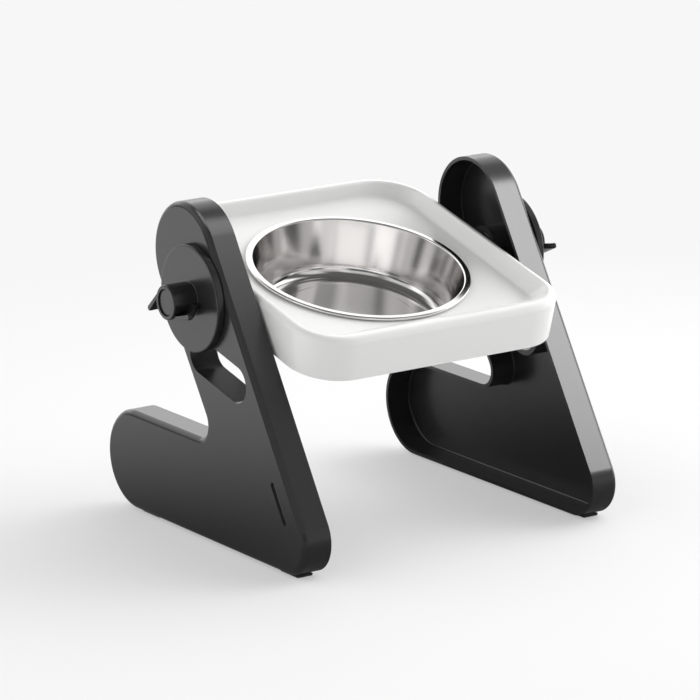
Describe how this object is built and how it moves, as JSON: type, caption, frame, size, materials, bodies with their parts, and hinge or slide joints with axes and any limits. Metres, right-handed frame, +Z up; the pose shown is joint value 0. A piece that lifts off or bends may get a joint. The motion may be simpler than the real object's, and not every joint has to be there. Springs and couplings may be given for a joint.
{
  "type": "raised cat bowl stand",
  "caption": "Raised feeding stand: white tray with a lift-out steel bowl, clamped by winged knobs in the guide slots of two black L-shaped legs, so its height and tilt adjust",
  "frame": {"origin": "on the floor, under the middle of the footprint", "axes": "+X across the stand, from the left leg to the right leg; -Y towards the cat; +Z up"},
  "size_m": [0.2626, 0.22, 0.2013],
  "materials": {
    "black_plastic": "glossy black",
    "white_plastic": "glossy white",
    "stainless_steel": "mirror-polished stainless steel",
    "black_rubber": "matte",
    "zinc_steel": "zinc-plated",
    "brass": "turned"
  },
  "bodies": {
    "legs": {"leg_left": "black_plastic", "leg_right": "black_plastic", "foot_front_left": "black_rubber", "foot_front_right": "black_rubber", "foot_rear_left": "black_rubber", "foot_rear_right": "black_rubber"},
    "carriage": {"slot_bush_left": "black_plastic", "slot_bush_right": "black_plastic"},
    "tray": {"tray": "white_plastic", "pivot_plate_left": "black_plastic", "pivot_plate_right": "black_plastic", "threaded_insert_left": "brass", "threaded_insert_right": "brass"},
    "bowl": {"bowl": "stainless_steel"},
    "knob_left": {"clamp_knob_left": "black_plastic", "knob_cap_left": "black_plastic", "clamp_screw_left": "zinc_steel"},
    "knob_right": {"clamp_knob_right": "black_plastic", "knob_cap_right": "black_plastic", "clamp_screw_right": "zinc_steel"}
  },
  "joints": [
    {"name": "height_slide", "type": "slide", "parent": "legs", "child": "carriage", "axis": [0, 0.0785, 0.9969], "range_m": [-0.0342, 0]},
    {"name": "tray_tilt", "type": "hinge", "parent": "carriage", "child": "tray", "pos_m": [0, 0.00115, 0.1473], "axis": [1, 0, 0], "range_deg": [-15, 15]},
    {"name": "knob_left_turn", "type": "hinge", "parent": "tray", "child": "knob_left", "pos_m": [0, 0.00115, 0.1473], "axis": [-1, 0, 0], "range_deg": [0, 180]},
    {"name": "knob_right_turn", "type": "hinge", "parent": "tray", "child": "knob_right", "pos_m": [0, 0.00115, 0.1473], "axis": [1, 0, 0], "range_deg": [0, 180]},
    {"name": "bowl_lift", "type": "slide", "parent": "tray", "child": "bowl", "axis": [0, -0.2588, 0.9659], "range_m": [0, 0.09]}
  ]
}
